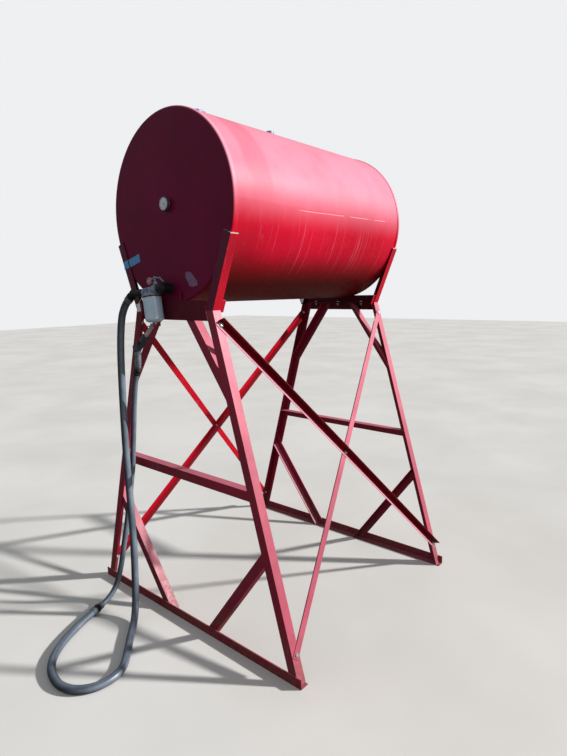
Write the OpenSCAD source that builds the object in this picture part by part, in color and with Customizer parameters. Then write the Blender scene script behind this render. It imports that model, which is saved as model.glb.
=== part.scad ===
// Overhead fuel tank with flat flanged heads, lying on a leaning angle-iron stand,
// with its filter, hose and nozzle at the front head.
// X runs across the tank, Y runs back along it and Z is up. The origin is the middle of the
// underside of the front base rail, on the ground.

/* [Tank] */
// outside diameter of the heads
tank_d = 965.2; // [900:0.2:1020]
// length over both heads
tank_len = 1524; // [1300:1:1900]
// thickness of the tank's sheet
sheet_t = 2.7; // [2:0.1:4]
// length of a head's skirt, measured from its face
skirt_len = 26; // [20:1:45]
// outside radius of the rolled corner of a head
knuckle_r = 12; // [6:1:18]
// distance of the fill neck behind the front head
fill_back = 212; // [120:1:400]
// outside diameter of the fill neck
fill_neck_d = 73; // [50:1:90]
// diameter of the fill cap
fill_cap_d = 106; // [95:1:130]
// height of the fill cap
fill_cap_h = 22; // [15:1:35]
// distance of the vent behind the front head
vent_back = 788; // [600:1:1000]
// outside diameter of the vent neck
vent_neck_d = 33.4; // [20:0.1:40]
// diameter of the vent cap
vent_cap_d = 52; // [44:1:70]
// diameter of the gauge's dial case
gauge_d = 66; // [58:1:90]
// height of the gauge above the tank's axis
gauge_up = 20; // [0:1:80]
// height of the head's lug
lug_h = 40; // [25:1:60]

/* [Stand] */
// height of the waist, where the cradle is bolted on the stand
waist_z = 1783; // [1500:1:2000]
// gap between the waist and the underside of the tank
under_tank = 32.2; // [20:0.1:45]
// distance of a foot outside the waist
splay = 509; // [440:1:580]
// width of the stand's angle iron
iron_w = 50.8; // [45:0.1:55]
// thickness of the stand's angle iron
iron_t = 4.8; // [4:0.1:6]
// outward lean of the cradle arms
arm_lean = 22; // [20:0.5:24]
// length of an arm beyond the line where it touches the tank
arm_over = 27; // [15:1:60]
// height of the top face of the mid rail
mid_rail_z = 907; // [800:1:1100]
// length of a base rail beyond the foot on each side
base_over = 16; // [6:1:40]
// thickness of the cleats inside the arms
cleat_t = 6; // [4:0.5:10]
// depth of the cleats behind the front of the arms
cleat_depth = 78; // [60:1:95]

/* [Braces] */
// angle of the upper knees from level
upper_knee_angle = 54.5; // [50:0.5:58]
// distance of an upper knee's heel from the middle, under the top rail
upper_knee_x = 138; // [120:1:160]
// angle of the lower knees from level
lower_knee_angle = 53.5; // [50:0.5:58]
// distance of a lower knee's outer edge from the middle, on the base rail
lower_knee_x = 213; // [180:1:240]
// width of the side braces' angle iron
brace_w = 38.1; // [30:0.1:45]
// thickness of the side braces' angle iron
brace_t = 3.2; // [2.5:0.1:4]
// distance of the brace bolts from the front of a leg
brace_bolt_in = 30; // [24:1:34]
// height of the upper brace bolts
brace_top_z = 1712; // [1650:1:1730]
// height of the lower brace bolts
brace_low_z = 140; // [110:1:200]
// length of a brace beyond its bolts
brace_tail = 20; // [15:1:30]

/* [Outlet] */
// height of the outlet above the underside of the tank
outlet_up = 82.6; // [76:0.1:100]
// distance of the outlet pipe's axis in front of the head
pipe_out = 60.5; // [60:0.5:80]
// droop of the filter away from level
droop = 8; // [0:1:12]
// outside diameter of the pipe nipples
nipple_d = 33.4; // [26:0.1:36]
// diameter of the elbow
elbow_d = 54; // [46:1:60]
// distance of the filter's axis from the outlet
filter_x = 98; // [95:1:110]
// diameter of the filter head
filter_head_d = 100; // [92:1:104]
// height of the filter head
filter_head_h = 46; // [40:1:56]
// diameter of the canister
canister_d = 97; // [88:1:100]
// height of the canister
canister_h = 130; // [110:1:134]
// height of the gasket band
gasket_h = 6; // [4:1:10]

/* [Hoses and nozzle] */
// outside diameter of the fuel hose
hose_d = 41; // [34:1:42]
// outside diameter of the thinner nozzle hose
nozzle_hose_d = 32; // [26:1:34]
// diameter of the coupling between the hoses
coupling_d = 54; // [48:1:54]
// diameter of the nozzle's body
nozzle_d = 40; // [38:1:48]
// diameter of the nozzle's spout
spout_d = 21; // [16:1:24]
// thickness of the nozzle hanger's strip
hanger_t = 3; // [2:0.5:3.5]

/* [Hidden] */
$fn = 96;
fit_gap = 0.3;
tank_red = [0.80, 0.08, 0.17];
frame_red = [0.72, 0.07, 0.16];
black_iron = [0.10, 0.09, 0.10];
cast_grey = [0.55, 0.55, 0.57];
canister_white = [0.88, 0.90, 0.94];
hose_grey = [0.42, 0.45, 0.52];
zinc = [0.75, 0.76, 0.78];
tag_white = [0.92, 0.90, 0.88];

// planes along Y: the legs' front, the heads' faces and the middle of the tank
leg_y = iron_t - iron_w / 2;
head_y = leg_y + iron_t + fit_gap;
mid_y = head_y + tank_len / 2;

// the tank lies in the arms, tangent to their inner faces, and that sets the waist's half width
tank_r = tank_d / 2;
shell_r = tank_r - sheet_t - fit_gap;
seat_d = tank_r + iron_t + fit_gap;
tank_z = waist_z + under_tank + tank_r;
waist_half = (seat_d - (tank_z - waist_z) * sin(arm_lean)) / cos(arm_lean);
foot_half = waist_half + splay;
arm_touch = (tank_z - waist_z) * cos(arm_lean) - waist_half * sin(arm_lean);
arm_len = arm_touch + arm_over;

// the lean of the legs and the outer faces of legs and arms at a height
leg_lean = atan(splay / waist_z);
leg_run = waist_z / cos(leg_lean);
function leg_x(z) = waist_half + (waist_z - z) * tan(leg_lean);
function arm_x(z) = waist_half + (z - waist_z) * tan(arm_lean);
// what is clear between the legs' side flanges, between their front flanges and between the arms' front flanges
function between_sides(z) = leg_x(z) - iron_t / cos(leg_lean) - fit_gap;
function between_fronts(z) = leg_x(z) - iron_w / cos(leg_lean) - fit_gap;
function between_arms(z) = arm_x(z) - iron_w / cos(arm_lean) - fit_gap;

// the cleats' reach along the arms, above and below the waist
cleat_up = 50;
cleat_down = 14;

// necks on top of the tank
neck_down = 15;
fill_up = 8;
vent_up = 26;

// outlet
outlet_drop = tank_r - outlet_up;
outlet_z = tank_z - outlet_drop;
bung_len = 14;
bung_d = 56;
elbow_leg = 26;
pipe_y = head_y - pipe_out;
port_d = 46;
boss_d = 56;
port_reach = 60;
head_low = filter_head_h / 2 + 3;

// the fuel hose's route, from the fitting down and round on the ground to the coupling
fuel_route = [
    [-290, -76, 1852], [-311, -76.4, 1837], [-333, -77, 1819], [-351, -78.5, 1797],
    [-365, -80.5, 1772], [-375, -83, 1745], [-386, -86, 1688], [-395, -89.5, 1600],
    [-400, -93, 1480], [-396, -100, 1300], [-388, -107, 1110], [-374, -115, 900],
    [-350, -125, 700], [-324, -138, 520], [-310, -148, 350], [-302, -157, 240],
    [-296, -163, 172], [-288, -170, 132], [-267, -189, 81], [-233, -219, 43],
    [-192, -256, 24], [-150, -294, 21], [-110, -330, 21], [-27, -400, 21], [54, -474, 21],
    [87, -524, 21], [99, -582, 21], [90, -642, 21], [61, -694, 21], [16, -733, 21],
    [-40, -753, 21], [-100, -755, 21], [-188, -734, 21], [-278, -678, 21], [-360, -582, 21],
    [-425, -464, 23], [-470, -352, 27]
];
// the nozzle hose's route, from the coupling up behind the fuel hose to the nozzle
nozzle_route = [
    [-496, -268, 33], [-504, -230, 44], [-506, -197, 66], [-505, -173, 95],
    [-501, -159, 125], [-488, -148, 180], [-474, -140, 240], [-464, -132, 300],
    [-456, -121, 376], [-448, -104, 470], [-440, -88, 570], [-433, -75, 660],
    [-418, -67, 760], [-398, -62, 870], [-384, -62, 970], [-366, -64, 1070],
    [-349, -67, 1155], [-330, -72, 1240], [-292, -80, 1370], [-268, -84, 1427]
];
// where the nozzle's parts meet, from the hose up to the spout's tip
nozzle_joints = [
    [-268, -84, 1427], [-251, -82, 1466], [-247, -80, 1512], [-254, -76, 1568],
    [-182, -66, 1643], [-134, -61, 1692], [-127, -60, 1709]
];
hanger_x = -131;
hanger_y = -60.5;
hanger_z = waist_z - 86;

// one of the names above, or all

// angle iron along Z with its heel on the axis and its flanges along X and Y
module angle_iron(length, w, t) {
    linear_extrude(length)
        polygon([[0, 0], [w, 0], [w, t], [t, t], [t, w], [0, w]]);
}

// the front frame's parts turned about the middle of the tank
module at_rear() {
    translate([0, 2 * mid_y, 0])
        rotate([0, 0, 180])
            children();
}

// a block whose sides lean, between two heights with their half widths
module leaning_block(z0, half0, z1, half1, y0, depth) {
    translate([0, y0 + depth, 0])
        rotate([90, 0, 0])
            linear_extrude(depth)
                polygon([[-half0, z0], [half0, z0], [half1, z1], [-half1, z1]]);
}

// a pipe or a round bar between two points
module bar_between(p, q, d) {
    v = q - p;
    translate(p)
        rotate([0, acos(v[2] / norm(v)), atan2(v[1], v[0])])
            cylinder(h = norm(v), d = d);
}

// tank

module tank_shell() {
    color(tank_red)
        difference() {
            translate([0, head_y + knuckle_r + 1, tank_z])
                rotate([-90, 0, 0])
                    difference() {
                        cylinder(h = tank_len - 2 * knuckle_r - 2, r = shell_r, $fn = 180);
                        translate([0, 0, -1])
                            cylinder(h = tank_len, r = shell_r - sheet_t, $fn = 180);
                    }
            for (back = [fill_back, vent_back])
                translate([0, head_y + back, tank_z])
                    cylinder(h = tank_r + 10, d = (back == fill_back ? fill_neck_d : vent_neck_d) + 2 * fit_gap);
        }
}

// a flat head with a rolled corner and a skirt that laps over the shell
module head_sheet() {
    inner_r = knuckle_r - sheet_t;
    corner = tank_r - knuckle_r;
    rotate_extrude($fn = 180)
        polygon(concat(
            [[0, 0]],
            [for (a = [0 : 15 : 90]) [corner + knuckle_r * sin(a), knuckle_r - knuckle_r * cos(a)]],
            [[tank_r, skirt_len], [tank_r - sheet_t, skirt_len]],
            [for (a = [90 : -15 : 0]) [corner + inner_r * sin(a), knuckle_r - inner_r * cos(a)]],
            [[0, sheet_t]]
        ));
}

module front_head() {
    color(tank_red) {
        translate([0, head_y, tank_z])
            rotate([-90, 0, 0])
                difference() {
                    head_sheet();
                    translate([0, outlet_drop, -1])
                        cylinder(h = sheet_t + 2, d = nipple_d + 2 * fit_gap);
                    translate([0, -gauge_up, -1])
                        cylinder(h = sheet_t + 2, d = nipple_d);
                }
        translate([74, head_y - 10, outlet_z - 57])
            cube([12, 10 + sheet_t / 2, lug_h]);
    }
}

module rear_head() {
    color(tank_red)
        translate([0, head_y + tank_len, tank_z])
            rotate([90, 0, 0])
                head_sheet();
}

module fill_neck() {
    color(tank_red)
        translate([0, head_y + fill_back, tank_z + shell_r - neck_down])
            difference() {
                cylinder(h = neck_down + fill_up, d = fill_neck_d);
                translate([0, 0, -1])
                    cylinder(h = neck_down + fill_up + 2, d = fill_neck_d - 10);
            }
}

module fill_cap() {
    color(tank_red)
        translate([0, head_y + fill_back, tank_z + shell_r + fill_up])
            difference() {
                union() {
                    cylinder(h = fill_cap_h - 4, d = fill_cap_d);
                    translate([0, 0, fill_cap_h - 4])
                        cylinder(h = 4, d1 = fill_cap_d, d2 = fill_cap_d - 12);
                    translate([-fill_cap_d * 0.3, -6, fill_cap_h - 1])
                        cube([fill_cap_d * 0.6, 12, 9]);
                }
                for (a = [0 : 30 : 330])
                    rotate([0, 0, a])
                        translate([fill_cap_d / 2 + 2, 0, -1])
                            cylinder(h = fill_cap_h - 6, d = 10, $fn = 24);
            }
}

module vent_cap() {
    color(tank_red)
        translate([0, head_y + vent_back, tank_z + shell_r]) {
            translate([0, 0, -neck_down])
                cylinder(h = neck_down + vent_up + 2, d = vent_neck_d);
            translate([0, 0, vent_up])
                cylinder(h = 4, d1 = vent_neck_d, d2 = vent_cap_d);
            translate([0, 0, vent_up + 4])
                cylinder(h = 12, d = vent_cap_d);
            translate([0, 0, vent_up + 16])
                cylinder(h = 6, d1 = vent_cap_d, d2 = vent_cap_d * 0.6);
        }
}

module level_gauge() {
    color(black_iron)
        translate([0, head_y, tank_z + gauge_up])
            rotate([90, 0, 0]) {
                translate([0, 0, -sheet_t - 2])
                    cylinder(h = sheet_t + 6, d = nipple_d - 2 * fit_gap);
                cylinder(h = 7, d = 50, $fn = 6);
                cylinder(h = 12, d = 36);
                translate([0, 0, 10])
                    difference() {
                        cylinder(h = 16, d = gauge_d);
                        translate([0, 0, 14])
                            cylinder(h = 3, d = gauge_d - 8);
                    }
            }
}

module outlet_bung() {
    color(tank_red)
        translate([0, head_y, outlet_z])
            rotate([90, 0, 0])
                difference() {
                    union() {
                        cylinder(h = 5, d = bung_d);
                        cylinder(h = bung_len, d = bung_d - 12);
                    }
                    translate([0, 0, -1])
                        cylinder(h = bung_len + 2, d = nipple_d + 2 * fit_gap);
                }
}

// legs, arms and rails

module right_leg() {
    color(frame_red)
        intersection() {
            translate([foot_half, leg_y, 0])
                rotate([0, -leg_lean, 0])
                    mirror([1, 0, 0])
                        translate([0, 0, -iron_w])
                            angle_iron(leg_run + 2 * iron_w, iron_w, iron_t);
            translate([0, leg_y - 1, iron_t])
                cube([2 * foot_half, iron_w + 2, waist_z - iron_t]);
        }
}

module left_leg() {
    mirror([1, 0, 0])
        right_leg();
}

module front_right_leg() {
    right_leg();
}

module front_left_leg() {
    left_leg();
}

module rear_right_leg() {
    at_rear()
        left_leg();
}

module rear_left_leg() {
    at_rear()
        right_leg();
}

// a cradle arm stands on the leg's top and carries a cleat inside its side flange
module on_right_arm() {
    translate([waist_half, leg_y, waist_z])
        rotate([0, arm_lean, 0])
            mirror([1, 0, 0])
                children();
}

module right_arm() {
    color(frame_red)
        union() {
            intersection() {
                on_right_arm()
                    translate([0, 0, -iron_w])
                        angle_iron(arm_len + iron_w, iron_w, iron_t);
                translate([0, leg_y - 1, waist_z])
                    cube([2 * tank_r, iron_w + 2, 2 * tank_r]);
            }
            on_right_arm()
                translate([iron_t, iron_t, -cleat_down])
                    cube([cleat_t, cleat_depth - iron_t, cleat_up + cleat_down]);
        }
}

module left_arm() {
    mirror([1, 0, 0])
        right_arm();
}

module front_right_arm() {
    right_arm();
}

module front_left_arm() {
    left_arm();
}

module rear_right_arm() {
    at_rear()
        left_arm();
}

module rear_left_arm() {
    at_rear()
        right_arm();
}

// bars of angle iron across the stand, upright flange first and level flange second
module upright_flange(z, y) {
    translate([-foot_half, y, z])
        cube([2 * foot_half, iron_t, iron_w]);
}

module level_flange(z, y) {
    translate([-foot_half, y, z])
        cube([2 * foot_half, iron_w, iron_t]);
}

module cradle_rail() {
    top_z = waist_z + iron_w;
    color(frame_red)
        intersection() {
            union() {
                upright_flange(waist_z, leg_y);
                level_flange(waist_z, leg_y);
            }
            leaning_block(waist_z, between_arms(waist_z), top_z, between_arms(top_z), leg_y, iron_w);
        }
}

module top_rail() {
    low_z = waist_z - iron_w;
    color(frame_red)
        intersection() {
            union() {
                upright_flange(low_z, leg_y);
                level_flange(waist_z - iron_t, leg_y);
            }
            leaning_block(low_z, between_fronts(low_z), waist_z, between_fronts(waist_z), leg_y, iron_w);
        }
}

// the mid rail lies behind the legs' front flanges
module mid_rail() {
    low_z = mid_rail_z - iron_w;
    color(frame_red)
        intersection() {
            union() {
                upright_flange(low_z, leg_y + iron_t);
                level_flange(mid_rail_z - iron_t, leg_y + iron_t);
            }
            leaning_block(low_z, between_sides(low_z), mid_rail_z, between_sides(mid_rail_z), leg_y + iron_t, iron_w);
        }
}

// the base rail stands in front of the legs and its level flange lies under them
module base_rail() {
    half = foot_half + base_over;
    color(frame_red)
        translate([-half, leg_y - iron_t, 0])
            rotate([90, 0, 90])
                angle_iron(2 * half, iron_w, iron_t);
}

module front_cradle_rail() {
    cradle_rail();
}

module rear_cradle_rail() {
    at_rear()
        cradle_rail();
}

module front_top_rail() {
    top_rail();
}

module rear_top_rail() {
    at_rear()
        top_rail();
}

module front_mid_rail() {
    mid_rail();
}

module rear_mid_rail() {
    at_rear()
        mid_rail();
}

module front_base_rail() {
    base_rail();
}

module rear_base_rail() {
    at_rear()
        base_rail();
}

// knees, all in the layer behind the legs' front flanges

module upper_knee() {
    top_z = waist_z - iron_t - fit_gap;
    intersection() {
        translate([upper_knee_x, leg_y + iron_t, waist_z - iron_t])
            rotate([0, 90 + upper_knee_angle, 0])
                translate([0, 0, -2 * iron_w])
                    angle_iron(waist_z, iron_w, iron_t);
        leaning_block(mid_rail_z, between_sides(mid_rail_z), top_z, between_sides(top_z), leg_y, 2 * iron_w);
    }
}

module upper_knees() {
    color(frame_red) {
        upper_knee();
        mirror([1, 0, 0])
            upper_knee();
    }
}

// a lower knee has its heel on the outer edge or, turned over, on the inner edge
module lower_knee(heel_out) {
    intersection() {
        translate([lower_knee_x, leg_y + iron_t, iron_t])
            rotate([0, 90 - lower_knee_angle, 0])
                translate([heel_out ? 0 : -iron_w, 0, -2 * iron_w])
                    mirror([heel_out ? 1 : 0, 0, 0])
                        angle_iron(mid_rail_z + 2 * iron_w, iron_w, iron_t);
        leaning_block(iron_t, between_sides(iron_t), mid_rail_z - iron_w - 1, between_sides(mid_rail_z - iron_w - 1),
            leg_y, 2 * iron_w);
    }
}

module lower_knees() {
    color(frame_red) {
        lower_knee(true);
        mirror([1, 0, 0])
            lower_knee(false);
    }
}

module front_upper_knees() {
    upper_knees();
}

module rear_upper_knees() {
    at_rear()
        upper_knees();
}

module front_lower_knees() {
    lower_knees();
}

module rear_lower_knees() {
    at_rear()
        lower_knees();
}

// side braces, laid out on the legs' outer faces: x runs back, y up the leg and z outward

module on_right_side() {
    translate([waist_half, 0, waist_z])
        rotate([0, -leg_lean, 0])
            rotate([90, 0, 90])
                children();
}

brace_front = leg_y + brace_bolt_in;
brace_rear = 2 * mid_y - brace_front;
brace_high = (brace_top_z - waist_z) / cos(leg_lean);
brace_low = (brace_low_z - waist_z) / cos(leg_lean);
brace_half = norm([brace_rear - brace_front, brace_high - brace_low]) / 2 + brace_tail;
brace_angle = atan((brace_high - brace_low) / (brace_rear - brace_front));

// brace iron along X from 0, with its outstanding flange up or down
module brace_iron(length, flange_side, flange_turn) {
    mirror([0, flange_side > 0 ? 0 : 1, 0])
        rotate([90, 0, 90])
            linear_extrude(length) {
                translate([-brace_w / 2, 0])
                    square([brace_w, brace_t]);
                translate([brace_w / 2 - brace_t, flange_turn > 0 ? 0 : brace_t - brace_w])
                    square([brace_t, brace_w]);
            }
}

// the outer brace is flush on the legs at its ends and bowed over the inner one where they cross
module outer_brace() {
    lift = brace_t + fit_gap;
    color(frame_red)
        on_right_side()
            translate([mid_y, (brace_high + brace_low) / 2, 0])
                rotate([0, 0, -brace_angle])
                    for (end = [0, 1])
                        mirror([end, 0, 0])
                            intersection() {
                                translate([-brace_half, 0, 0])
                                    rotate([0, -atan(lift / brace_half), 0])
                                        brace_iron(brace_half + 10, 1, 1);
                                translate([-brace_half - 1, -brace_w, -1])
                                    cube([brace_half + 1, 2 * brace_w, 2 * brace_w]);
                            }
}

// the inner brace's outstanding flange is coped clear of the legs
module inner_brace() {
    clear_front = leg_y + iron_w + 3;
    color(frame_red)
        on_right_side()
            difference() {
                translate([mid_y, (brace_high + brace_low) / 2, 0])
                    rotate([0, 0, brace_angle])
                        translate([-brace_half, 0, 0])
                            brace_iron(2 * brace_half, -1, -1);
                translate([clear_front - 200, brace_low - 200, -2 * brace_w])
                    cube([200, 400, 2 * brace_w]);
                translate([2 * mid_y - clear_front, brace_high - 200, -2 * brace_w])
                    cube([200, 400, 2 * brace_w]);
            }
}

module right_outer_brace() {
    outer_brace();
}

module right_inner_brace() {
    inner_brace();
}

module left_outer_brace() {
    mirror([1, 0, 0])
        outer_brace();
}

module left_inner_brace() {
    mirror([1, 0, 0])
        inner_brace();
}

// outlet and filter, drooping about the outlet's axis

module on_outlet() {
    translate([0, pipe_y, outlet_z])
        rotate([0, -droop, 0])
            children();
}

module outlet_elbow() {
    color(black_iron)
        on_outlet() {
            rotate([-90, 0, 0])
                cylinder(h = pipe_out - 3, d = nipple_d);
            rotate([-90, 0, 0])
                cylinder(h = 26, d = elbow_d - 4);
            translate([0, 20, 0])
                rotate([-90, 0, 0])
                    cylinder(h = 14, d = elbow_d + 5);
            sphere(d = elbow_d);
            rotate([0, -90, 0])
                cylinder(h = elbow_leg, d = elbow_d - 4);
        }
}

module filter_head() {
    rim_h = 12;
    dome_h = filter_head_h - rim_h - 4;
    color(cast_grey)
        on_outlet()
            translate([-filter_x, 0, -head_low]) {
                cylinder(h = rim_h, d = filter_head_d);
                translate([0, 0, rim_h])
                    cylinder(h = dome_h, d1 = filter_head_d - 12, d2 = filter_head_d - 40);
                cylinder(h = filter_head_h, d = 40);
                for (a = [22.5 : 45 : 337.5])
                    rotate([0, 0, a])
                        translate([0, -2.5, rim_h - 1])
                            cube([filter_head_d / 2 - 3, 5, dome_h - 3]);
                translate([-port_reach, 0, head_low])
                    rotate([0, 90, 0])
                        cylinder(h = port_reach + filter_x - elbow_leg - fit_gap, d = port_d);
                translate([filter_x - elbow_leg - 38, 0, head_low])
                    rotate([0, 90, 0])
                        cylinder(h = 30, d = boss_d);
            }
}

module filter_gasket() {
    color(black_iron)
        on_outlet()
            translate([-filter_x, 0, -head_low - gasket_h])
                cylinder(h = gasket_h, d = canister_d + 3);
}

module filter_canister() {
    seam_h = 6;
    color(canister_white)
        on_outlet()
            translate([-filter_x, 0, -head_low - gasket_h])
                rotate([180, 0, 0])
                    rotate_extrude()
                        polygon([
                            [0, 0], [canister_d / 2, 0], [canister_d / 2, canister_h - 14],
                            for (a = [0 : 15 : 75])
                                [canister_d / 2 - 10 + 10 * cos(a), canister_h - 14 + 10 * sin(a)],
                            [canister_d / 2 - 10, canister_h - 4], [canister_d / 2 - 14, canister_h],
                            [canister_d / 2 - 18, canister_h - 4], [0, canister_h - seam_h]
                        ]);
}

// the shut-off valve's bonnet and stem stand on the head's inlet, and its lever lies over the elbow
module shutoff_valve() {
    stem_x = -elbow_leg - 24;
    top = boss_d / 2 + 34;
    color(cast_grey)
        on_outlet()
            union() {
                translate([stem_x, 0, boss_d / 2 + fit_gap]) {
                    cylinder(h = 12, d = 26, $fn = 6);
                    cylinder(h = 34, d = 12);
                }
                translate([stem_x, 0, top])
                    sphere(d = 17);
                bar_between([stem_x, 0, top], [-filter_x, 0, top - 10], 9);
                translate([-filter_x, 5, top - 10])
                    rotate([90, 0, 0])
                        cylinder(h = 10, d = 36);
                bar_between([stem_x, 0, top], [-8, 0, top - 9], 8);
                translate([-8, 0, top - 9])
                    sphere(d = 13);
                bar_between([-8, 0, top - 9], [18, 0, top - 31], 8);
            }
}

// nipple, nut, elbow and ferrule between the filter head's outlet port and the fuel hose
fitting_start = [
    -(filter_x + port_reach) * cos(droop), pipe_y, outlet_z - (filter_x + port_reach) * sin(droop)
];
fitting_bend = fuel_route[0] + 36 * unit(fuel_route[0] - fuel_route[1]);
fitting_way = unit(fitting_bend - fitting_start);

module hose_fitting() {
    way_out = unit(fuel_route[0] - fitting_bend);
    color(black_iron)
        union() {
            bar_between(fitting_start + fitting_way, fitting_bend, nipple_d + 4);
            bar_between(fitting_start + 10 * fitting_way, fitting_start + 40 * fitting_way, hose_d + 2);
            translate(fitting_bend)
                sphere(d = hose_d + 4);
            bar_between(fitting_bend, fuel_route[0] - fit_gap * way_out, nipple_d + 4);
            bar_between(fuel_route[0] - 14 * way_out, fuel_route[0] - fit_gap * way_out, hose_d + 6);
        }
}

// hose

function unit(v) = v / norm(v);
// the direction at each point, and a side vector carried along without twist
function route_way(p, i) = unit(p[min(i + 1, len(p) - 1)] - p[max(i - 1, 0)]);
function carried(side, way) = unit(side - (side * way) * way);
function sides_along(p, i, side) =
    i >= len(p) ? [] : let (s = carried(side, route_way(p, i))) concat([s], sides_along(p, i + 1, s));

module swept_tube(points, d, n) {
    sides = sides_along(points, 0, [0, 1, 0]);
    rings = [
        for (i = [0 : len(points) - 1])
            let (w = route_way(points, i), s = sides[i], u = cross(w, s))
            for (k = [0 : n - 1])
                points[i] + d / 2 * (cos(360 * k / n) * s + sin(360 * k / n) * u)
    ];
    last = (len(points) - 1) * n;
    faces = concat(
        [[for (k = [0 : n - 1]) k]],
        [
            for (i = [0 : len(points) - 2])
                for (k = [0 : n - 1])
                    each [
                        [i * n + k, i * n + n + k, i * n + (k + 1) % n],
                        [i * n + (k + 1) % n, i * n + n + k, i * n + n + (k + 1) % n]
                    ]
        ],
        [[for (k = [n - 1 : -1 : 0]) last + k]]
    );
    polyhedron(points = rings, faces = faces, convexity = 6);
}

module fuel_hose() {
    color(hose_grey)
        swept_tube(fuel_route, hose_d, 10);
}

module nozzle_hose() {
    color(hose_grey)
        swept_tube(nozzle_route, nozzle_hose_d, 10);
}

// the coupling lies on the ground and joins the two hoses
module hose_coupling() {
    p = fuel_route[len(fuel_route) - 1];
    q = nozzle_route[0];
    v = unit(q - p);
    run = norm(q - p);
    start = p + 2 * fit_gap * v;
    end = q - 2 * fit_gap * v;
    color(zinc) {
        bar_between(start, end, nozzle_hose_d + 4);
        bar_between(start, p + 30 * v, coupling_d);
        bar_between(p + 36 * v, p + 56 * v, coupling_d - 4);
        bar_between(q - 24 * v, end, nozzle_hose_d + 12);
    }
}

// nozzle

module nozzle_body() {
    j = nozzle_joints;
    grip_d = nozzle_hose_d - 2;
    guard_t = 8;
    color(cast_grey)
        union() {
            bar_between(j[0], j[1], grip_d + 4);
            translate(j[1])
                sphere(d = grip_d + 9);
            bar_between(j[1], j[3], grip_d);
            translate(j[3])
                sphere(d = nozzle_d + 5);
            bar_between(j[3], j[4], nozzle_d);
            // the lever's guard, a flat loop on the outer side
            translate([0, j[2][1] + guard_t / 2, 0])
                rotate([90, 0, 0])
                    linear_extrude(guard_t)
                        difference() {
                            guard_outline(0);
                            guard_outline(8);
                        }
        }
}

// the guard's outline from the grip's foot to the body, drawn smaller by an inset
module guard_outline(inset) {
    j = nozzle_joints;
    polygon([
        [j[1][0], j[1][2] + inset], [j[1][0] - 34 + inset, j[1][2] + 14 + inset],
        [j[3][0] - 34 + inset, j[3][2] + 20 - inset], [j[3][0] + 20, j[3][2] + 34 - inset],
        [j[3][0], j[3][2]]
    ]);
}

module nozzle_spout() {
    j = nozzle_joints;
    color(zinc) {
        bar_between(j[4], j[5], spout_d);
        translate(j[5])
            sphere(d = spout_d + 2);
        bar_between(j[5], j[6], spout_d);
    }
}

// a strip on the front of the top rail with a tab that the spout hooks into
module nozzle_hanger() {
    strip_w = 52;
    tab_out = leg_y - hanger_y + 24;
    color(frame_red)
        difference() {
            union() {
                translate([hanger_x - strip_w / 2, leg_y - hanger_t, hanger_z])
                    cube([strip_w, hanger_t, waist_z - 8 - hanger_z]);
                translate([hanger_x - strip_w / 2, leg_y - tab_out, hanger_z])
                    cube([strip_w, tab_out, hanger_t]);
            }
            translate([hanger_x, hanger_y, hanger_z - 1])
                cylinder(h = hanger_t + 2, d = spout_d + 12);
        }
}

// a blank tag on a string below the hose fitting
module hang_tag() {
    tied = fitting_start + 25 * fitting_way - [0, 0, (hose_d + 2) / 2 + 1 + fit_gap];
    hole = tied - [40, 0, 36];
    color(tag_white) {
        bar_between(tied, hole, 2);
        translate(hole)
            rotate([0, -12, 0])
                translate([-16, -1, -41])
                    cube([32, 2, 43]);
    }
}

tank_shell();
front_head();
rear_head();
fill_neck();
fill_cap();
vent_cap();
level_gauge();
outlet_bung();
front_right_leg();
front_left_leg();
rear_right_leg();
rear_left_leg();
front_right_arm();
front_left_arm();
rear_right_arm();
rear_left_arm();
front_cradle_rail();
rear_cradle_rail();
front_top_rail();
rear_top_rail();
front_mid_rail();
rear_mid_rail();
front_base_rail();
rear_base_rail();
front_upper_knees();
rear_upper_knees();
front_lower_knees();
rear_lower_knees();
right_outer_brace();
right_inner_brace();
left_outer_brace();
left_inner_brace();
outlet_elbow();
shutoff_valve();
filter_head();
filter_gasket();
filter_canister();
hose_fitting();
fuel_hose();
hose_coupling();
nozzle_hose();
nozzle_body();
nozzle_spout();
nozzle_hanger();
hang_tag();
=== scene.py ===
import math

import bmesh
import bpy
from mathutils import Matrix, Vector


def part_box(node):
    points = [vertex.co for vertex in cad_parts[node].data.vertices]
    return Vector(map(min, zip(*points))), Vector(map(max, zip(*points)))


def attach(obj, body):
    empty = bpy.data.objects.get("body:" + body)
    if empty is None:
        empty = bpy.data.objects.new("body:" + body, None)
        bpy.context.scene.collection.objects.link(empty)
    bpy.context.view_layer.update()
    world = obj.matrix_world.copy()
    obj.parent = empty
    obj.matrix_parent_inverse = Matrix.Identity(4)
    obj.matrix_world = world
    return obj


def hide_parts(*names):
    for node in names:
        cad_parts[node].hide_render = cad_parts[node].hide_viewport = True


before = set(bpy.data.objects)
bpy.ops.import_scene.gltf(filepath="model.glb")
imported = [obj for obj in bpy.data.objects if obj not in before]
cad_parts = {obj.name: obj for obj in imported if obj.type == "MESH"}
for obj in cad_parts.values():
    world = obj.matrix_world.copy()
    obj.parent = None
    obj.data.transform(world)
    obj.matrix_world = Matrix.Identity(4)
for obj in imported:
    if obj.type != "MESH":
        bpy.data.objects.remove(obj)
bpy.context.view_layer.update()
scene = bpy.context.scene
scene.view_settings.view_transform = "Standard"

X = Vector((1, 0, 0))
Y = Vector((0, 1, 0))
Z = Vector((0, 0, 1))


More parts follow.
